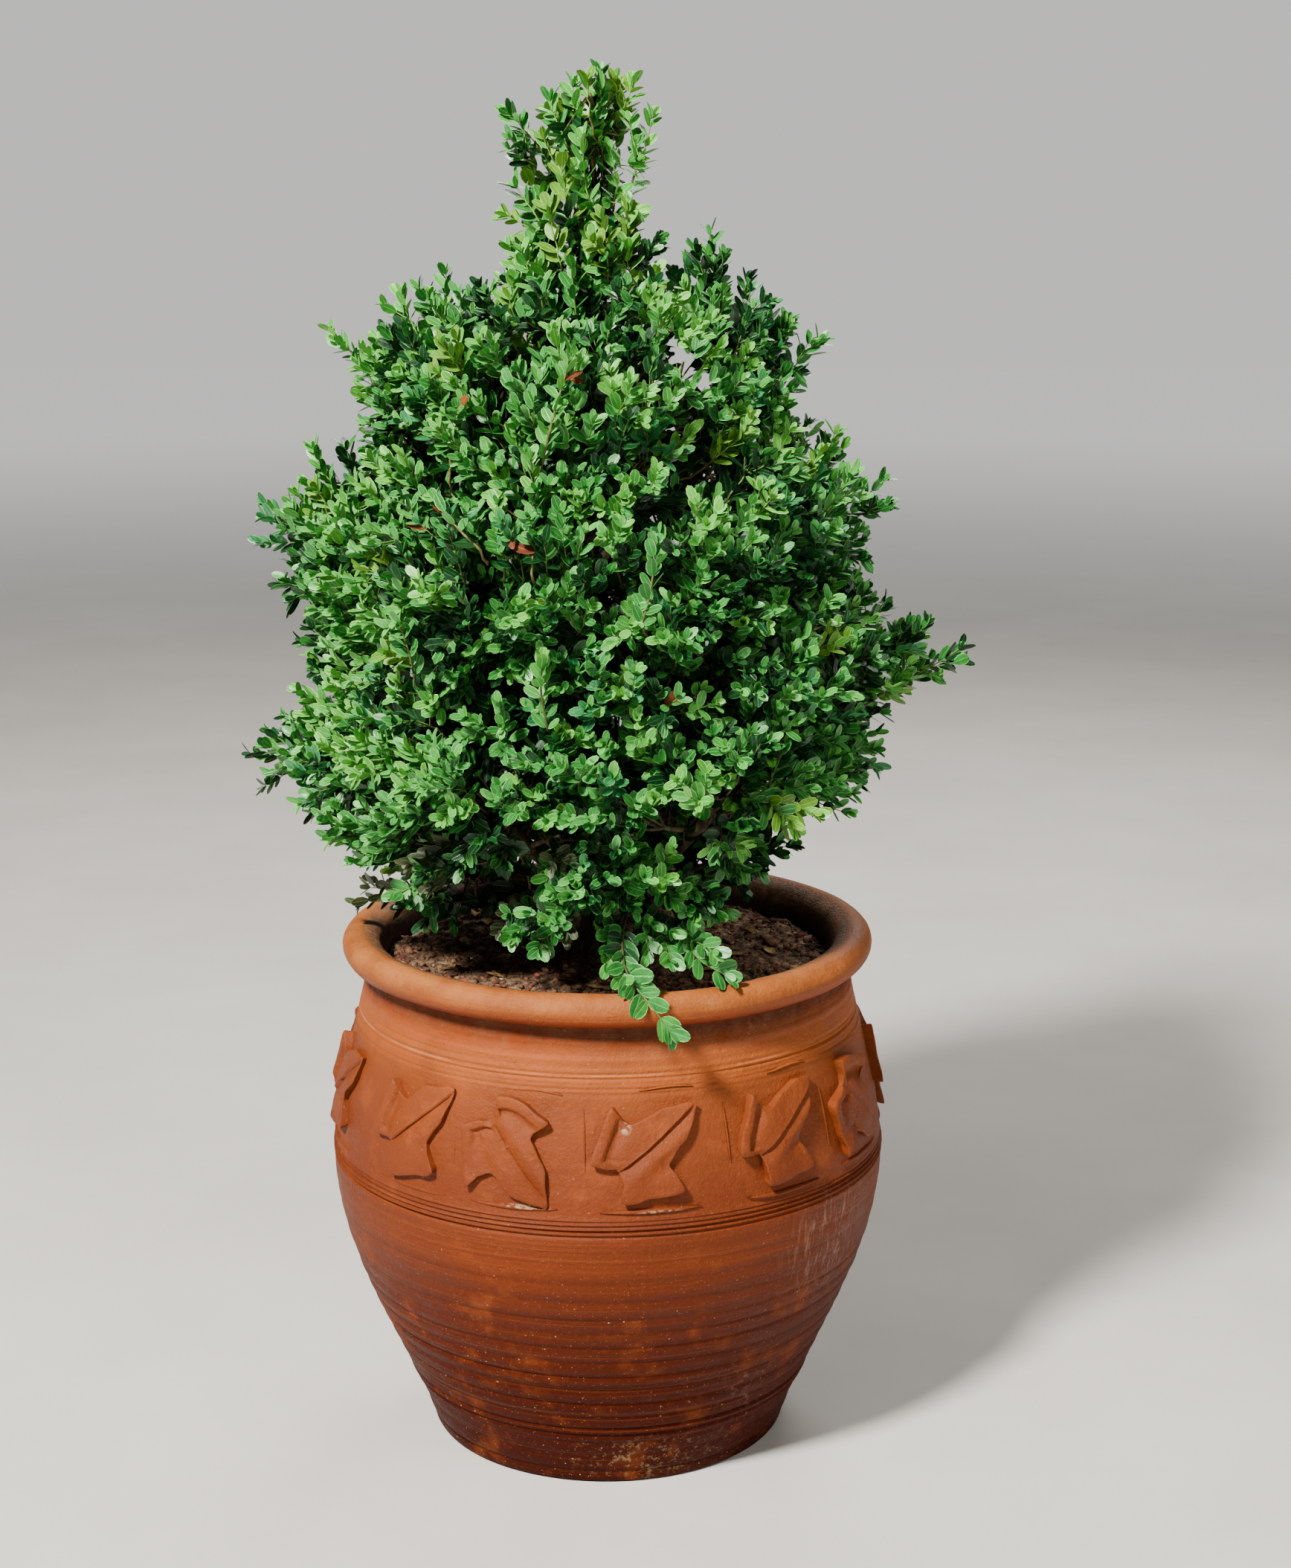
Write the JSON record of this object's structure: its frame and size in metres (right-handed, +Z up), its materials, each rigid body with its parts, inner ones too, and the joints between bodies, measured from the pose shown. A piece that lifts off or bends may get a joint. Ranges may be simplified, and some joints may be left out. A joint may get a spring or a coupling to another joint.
{
  "type": "potted boxwood topiary",
  "caption": "Boxwood shrub grown as a loose cone with a narrow spire, in a round terracotta pot with a rolled rim, throwing rings and a frieze of ivy leaves in relief.",
  "frame": {"origin": "centre of the pot's flat underside, on the ground", "axes": "+Z up along the pot's axis; the pictured side of the shrub and pot faces -Y, and +X is to the right in that view"},
  "size_m": [0.6187, 0.524, 1.1579],
  "materials": {
    "terracotta": "matte",
    "soil": "matte",
    "bark": "matte",
    "foliage": "satin"
  },
  "bodies": {
    "root": {"bough_flank_back_left": "bark", "bough_flank_back_right": "bark", "bough_flank_front_left": "bark", "bough_flank_front_right": "bark", "bough_flank_left": "bark", "bough_flank_right": "bark", "bough_hem_back": "bark", "bough_hem_front": "bark", "bough_hem_left": "bark", "bough_hem_right": "bark", "bough_shoulder_back": "bark", "bough_shoulder_front": "bark", "bough_shoulder_left": "bark", "bough_shoulder_right": "bark", "bough_skirt_back_left": "bark", "bough_skirt_back_right": "bark", "bough_skirt_front_left": "bark", "bough_skirt_front_right": "bark", "bough_skirt_left": "bark", "bough_skirt_right": "bark", "flank_back_left": "foliage", "flank_back_right": "foliage", "flank_front_left": "foliage", "flank_front_right": "foliage", "flank_left": "foliage", "flank_right": "foliage", "hem_back": "foliage", "hem_front": "foliage", "hem_left": "foliage", "hem_right": "foliage", "ivy_relief_01": "terracotta", "ivy_relief_02": "terracotta", "ivy_relief_03": "terracotta", "ivy_relief_04": "terracotta", "ivy_relief_05": "terracotta", "ivy_relief_06": "terracotta", "ivy_relief_07": "terracotta", "ivy_relief_08": "terracotta", "ivy_relief_09": "terracotta", "ivy_relief_10": "terracotta", "ivy_relief_11": "terracotta", "ivy_relief_12": "terracotta", "pot": "terracotta", "shoulder_back": "foliage", "shoulder_front": "foliage", "shoulder_left": "foliage", "shoulder_right": "foliage", "skirt_back_left": "foliage", "skirt_back_right": "foliage", "skirt_front_left": "foliage", "skirt_front_right": "foliage", "skirt_left": "foliage", "skirt_right": "foliage", "soil": "soil", "spire_neck": "foliage", "spire_top": "foliage", "trunk": "bark"}
  },
  "joints": []
}
